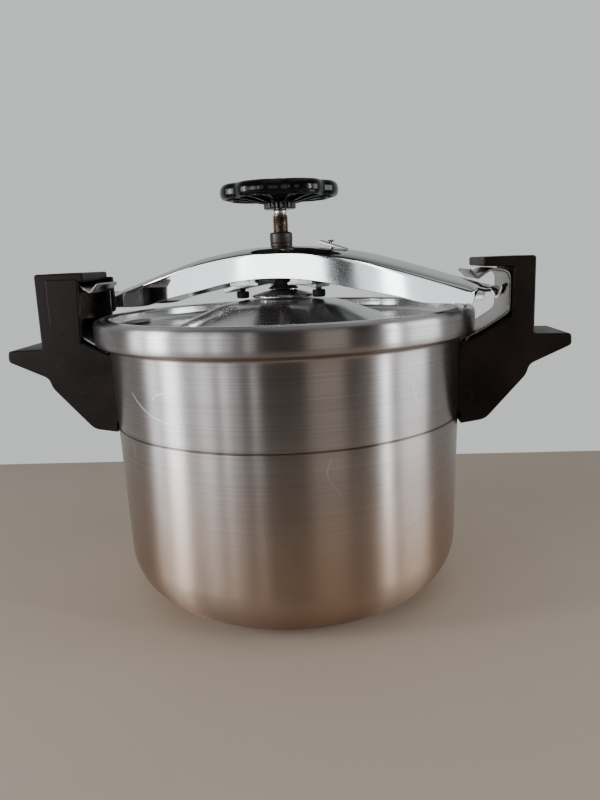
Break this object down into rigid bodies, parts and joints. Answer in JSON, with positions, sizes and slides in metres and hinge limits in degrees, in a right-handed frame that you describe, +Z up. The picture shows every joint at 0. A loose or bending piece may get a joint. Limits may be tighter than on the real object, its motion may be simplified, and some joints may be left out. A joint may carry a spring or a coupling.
{
  "type": "stovetop pressure cooker",
  "caption": "Deep round aluminium pot with a domed lid held by an arched clamp bar and a central hand screw, hooked under lugs in dark side handles.",
  "frame": {"origin": "centre of the base on the surface it stands on", "axes": "+Z up along the pot's axis, +X from one side handle to the other, +Y towards the back"},
  "size_m": [0.392, 0.2674, 0.29],
  "materials": {
    "body_alu": "brushed round the body",
    "polished_alu": "polished",
    "chrome": "mirror plated",
    "bakelite": "satin phenolic moulding",
    "gloss_black": "glossy phenolic moulding",
    "zinc": "speckled zinc plate",
    "dark_steel": "darkened turned steel",
    "screw_steel": "threaded steel, slightly rusted",
    "brass": "turned",
    "rubber": "matt",
    "red_rubber": "matt"
  },
  "bodies": {
    "pot": {"pot_body": "body_alu", "lid_gasket": "rubber", "handle_right": "bakelite", "handle_left": "bakelite", "lug_right": "chrome", "lug_left": "chrome", "lug_rivet_right_1": "polished_alu", "lug_rivet_right_2": "polished_alu", "lug_rivet_left_1": "polished_alu", "lug_rivet_left_2": "polished_alu", "handle_screw_right_1": "screw_steel", "handle_screw_right_2": "screw_steel", "handle_screw_left_1": "screw_steel", "handle_screw_left_2": "screw_steel"},
    "lid_set": {"lid": "polished_alu", "lid_cap": "polished_alu", "vent_nozzle": "brass", "vent_nut": "brass", "safety_plug": "red_rubber"},
    "bar_set": {"stirrup_bar": "chrome", "bar_leaf": "chrome", "leaf_rivet": "chrome", "threaded_bush": "dark_steel", "yoke_plate": "zinc", "yoke_foot_left": "rubber", "yoke_foot_right": "rubber"},
    "foot": {"thrust_foot": "gloss_black"},
    "screw": {"spindle_screw": "screw_steel", "knob": "gloss_black", "knob_insert": "gloss_black"},
    "weight": {"regulator_weight": "chrome"}
  },
  "joints": [
    {"name": "lid_lift", "type": "slide", "parent": "pot", "child": "lid_set", "axis": [0, 0, 1], "range_m": [0, 0.12]},
    {"name": "bar_swivel", "type": "hinge", "parent": "lid_set", "child": "bar_set", "pos_m": [0, 0, 0.22], "axis": [0, 0, 1], "range_deg": [-30, 0]},
    {"name": "screw_travel", "type": "slide", "parent": "bar_set", "child": "foot", "axis": [0, 0, 1], "range_m": [0, 0.006]},
    {"name": "knob_turn", "type": "hinge", "parent": "foot", "child": "screw", "pos_m": [0, 0, 0.25], "axis": [0, 0, 1], "range_deg": [0, 1440]},
    {"name": "regulator_lift", "type": "slide", "parent": "lid_set", "child": "weight", "axis": [0, 0, 1], "range_m": [0, 0.025]}
  ],
  "couplings": [
    {"joint": "screw_travel", "follows": "knob_turn", "m_per_rad": 0.00023873}
  ]
}
